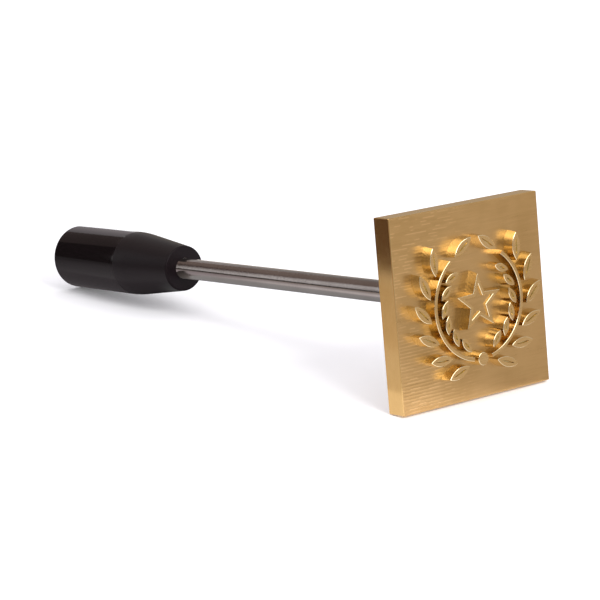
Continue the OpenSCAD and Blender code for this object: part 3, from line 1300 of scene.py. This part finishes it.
@dataclass(frozen=True)
class Studio:
    """White table under soft light, with cards beside it for the metal to reflect."""

    floor_half: float = 6.0
    floor_drop: float = 0.0002
    floor_colour: float = 0.95
    floor_glow: float = 0.12
    far_glow: float = 0.9
    glow_start: float = 0.15
    glow_full: float = 1.2
    soft_light: Colour = (0.985, 0.965, 1.015)
    mirror_bounces: int = 8
    lights: tuple[Softbox, ...] = (
        Softbox("key_softbox", (1.326, -0.21, 0.906), 0.5, 12.0, "glossy"),
        Softbox("metal_softbox", (0.95, -0.85, 1.15), 1.3, 14.0, "diffuse"),
    )
    cards: tuple[Card, ...] = (
        Card("table_edge", (-0.36, -0.2, 0.0), (0.26, 0.0, 0.0), (0.0, 0.0, 0.036),
             (0.075, 0.064, 0.06)),
        Card("die_card", (-0.10, -0.208, 0.0), (0.18, 0.0, 0.0), (0.0, 0.0, 0.09), (0.11, 0.07, 0.05)),
        Card("dark_card", (-0.95, -0.2, 0.0), (0.622, 0.0, 0.0), (-0.29, 0.0, 0.34),
             (0.03, 0.025, 0.022)),
        Card("brown_wall", (-1.0, -0.57, 0.1), (0.0, 0.79, 0.0), (0.0, 0.0, 0.435),
             (0.185, 0.14, 0.13)),
        Card("brown_top", (-1.0, -0.57, 0.535), (0.0, 0.87, 0.0), (0.0, 0.0, 0.865),
             (0.31, 0.25, 0.22)),
        Card("handle_window", (-0.99, 0.22, 0.0), (0.0, 0.34, -0.2), (0.0, 0.0, 0.5),
             (0.02, 0.018, 0.018), (0.685, 0.61, 0.63)),
        Card("brown_corner", (-1.0, -1.4, 0.7), (0.0, 0.83, 0.0), (0.0, 0.0, 1.0), (0.21, 0.17, 0.15)),
        Card("over_window", (-1.0, 0.3, 0.58), (0.0, 1.2, 0.0), (0.0, 0.0, 1.2), (0.28, 0.25, 0.23)),
        Card("window", (-1.0, 0.3, 0.3), (0.0, 1.2, 0.0), (0.0, 0.0, 0.28), (0.46, 0.44, 0.43)),
        Card("back_horizon", (-1.0, 0.6, 0.0), (0.0, 1.2, 0.0), (0.0, 0.0, 0.3), (0.475, 0.39, 0.28)),
        Card("left_wall", (-1.15, -1.0, 0.0), (1.45, 0.0, 0.0), (0.0, 0.0, 0.9), (0.14, 0.12, 0.115)),
        lying("outer_table", (-0.3, -0.2), (0.0, 0.09), (0.45, 0.0),
              (0.15, 0.14, 0.135), (0.82, 0.73, 0.65), 0.85),
        lying("handle_table", (-0.3, -0.11), (0.0, 0.088), (0.221, 0.0),
              (0.13, 0.11, 0.118), (0.62, 0.565, 0.585)),
        lying("die_table", (-0.079, -0.11), (0.0, 0.045), (0.229, 0.0),
              (0.60, 0.55, 0.54), (0.86, 0.81, 0.77)),
        lying("rod_table", (-0.079, -0.065), (0.0, 0.035), (0.229, 0.0),
              (0.59, 0.55, 0.55), (1.12, 1.08, 1.08), 0.45),
        # Painted shade: dark sheets on the table where the handle and the rod cast their shadow, which
        # the metal mirrors in place of the shaded table.
        lying("handle_shade", (-0.3, -0.022), (0.221, 0.0), (0.0, 0.026),
              (0.38, 0.335, 0.355), (0.02, 0.018, 0.019), 0.85),
        lying("handle_core", (-0.3, 0.004), (0.221, 0.0), (0.0, 0.026), (0.02, 0.018, 0.019)),
        lying("rod_shade", (-0.079, -0.03), (0.229, 0.0), (0.0, 0.06),
              (0.62, 0.62, 0.62), (0.25, 0.25, 0.25)),
        lying("far_table", (-0.8, -0.2), (0.0, 0.23), (0.5, 0.0), (0.20, 0.19, 0.19)),
        lying("front_table", (0.1, -0.1), (1.0, 0.0), (0.0, -0.9),
              (0.80, 0.77, 0.75), (0.30, 0.27, 0.25), 0.5),
        lying("foot_table", (0.1575, -0.014), (0.25, 0.0), (0.0, 0.057),
              (1.3, 1.26, 1.27), (0.44, 0.395, 0.355), 0.8),
        Card("camera_card", (0.744, -1.306, 0.0), (0.731, 0.951, 0.0), (0.0, 0.0, 0.75),
             (0.30, 0.27, 0.25)),
        Card("right_card", (0.1537, 0.0432, 0.0), (-0.0139, 0.0, 0.16), (0.245, -0.0152, 0.0),
             (0.59, 0.55, 0.51), (0.62, 0.60, 0.57)),
        # Painted reflection: dark sheets at the nose's front that the rod mirrors in place of the grip,
        # which its reflections don't see. The lower sheet's tone runs darker towards its top.
        Card("nose_top", (-0.0620, -0.003, 0.0245), (0.0, 0.0115, 0.0), (0.0, 0.0, 0.0080),
             (0.04, 0.035, 0.035)),
        Card("nose_foot", (-0.0610, -0.0105, 0.0133), (0.0, 0.021, 0.0), (0.0, 0.0, 0.0095),
             (0.30, 0.27, 0.26), (0.06, 0.055, 0.05), 0.5),
        Card("top_softbox", (0.1, -0.5, 0.85), (0.8, 0.0, 0.0), (0.0, 0.85, 0.0), (2.4, 2.4, 2.3)),
        Card("edge_card", (0.2, 0.45, 0.95), (0.5, 0.0, 0.0), (0.0, 0.5, 0.0), (0.5, 0.46, 0.42)),
    )

    def floor(self) -> None:
        """Lays the table: white, with a glow for the eye that lights nothing else.

        The glow is slight by the tool, where the table keeps its shadow, and makes up for the
        lamp's fall-off further away.
        """
        half = self.floor_half
        z = -self.floor_drop
        mesh = bpy.data.meshes.new("table")
        corners = [(-half, -half, z), (half, -half, z), (half, half, z), (-half, half, z)]
        mesh.from_pydata(corners, [], [(0, 1, 2, 3)])
        material = bpy.data.materials.new("table_white")
        material.use_nodes = True
        graph = Graph(material.node_tree)
        where = graph.node("ShaderNodeTexCoord").outputs["Object"]
        length = graph.node("ShaderNodeVectorMath", {"operation": "LENGTH"}, {0: where}).outputs["Value"]
        far = Value(graph, length).ramp(self.glow_start, self.glow_full)
        full = self.floor_glow + self.far_glow
        share = (self.floor_glow + self.far_glow * far) / full * graph.seen_directly()
        tone = graph.blend(share, (0.0, 0.0, 0.0), (1.0, 1.0, 1.0))
        paint = graph.node("ShaderNodeBsdfDiffuse", {}, {"Color": (*(self.floor_colour,) * 3, 1.0)})
        glow = graph.node("ShaderNodeEmission", {}, {"Color": tone, "Strength": full})
        both = graph.node("ShaderNodeAddShader", {}, {0: paint.outputs[0], 1: glow.outputs[0]})
        graph.node("ShaderNodeOutputMaterial", {}, {"Surface": both.outputs[0]})
        mesh.materials.append(material)
        table = placed("table", mesh)

    def world(self) -> None:
        """Surrounds the tool with white to the eye and in reflections, and with a soft light else."""
        world = bpy.data.worlds.new("white_room")
        world.use_nodes = True
        bpy.context.scene.world = world
        graph = Graph(world.node_tree)
        colour = graph.blend(graph.seen_directly(), self.soft_light, (1.0, 1.0, 1.0))
        sky = graph.node("ShaderNodeBackground", {}, {"Color": colour})
        graph.node("ShaderNodeOutputWorld", {}, {"Surface": sky.outputs[0]})

    def build(self) -> None:
        """Sets the table, the room, the lights and the cards."""
        self.floor()
        self.world()
        for thing in (*self.lights, *self.cards):
            thing.build()
        scene = bpy.context.scene
        scene.view_settings.view_transform = "Standard"
        scene.cycles.glossy_bounces = self.mirror_bounces


def main() -> None:
    """Builds the camera, the tool's pieces and the studio in order."""
    logging.basicConfig(level=logging.INFO, format="%(name)s %(message)s")
    ViewPoint().build()
    die = Die()
    pieces = Piece(ToolFrame.from_record(frame["record"], die.relief.face))
    for assembly in (die, Rod(), Handle()):
        assembly.build(pieces)
    Studio().build()


if __name__ == "__main__":
    main()
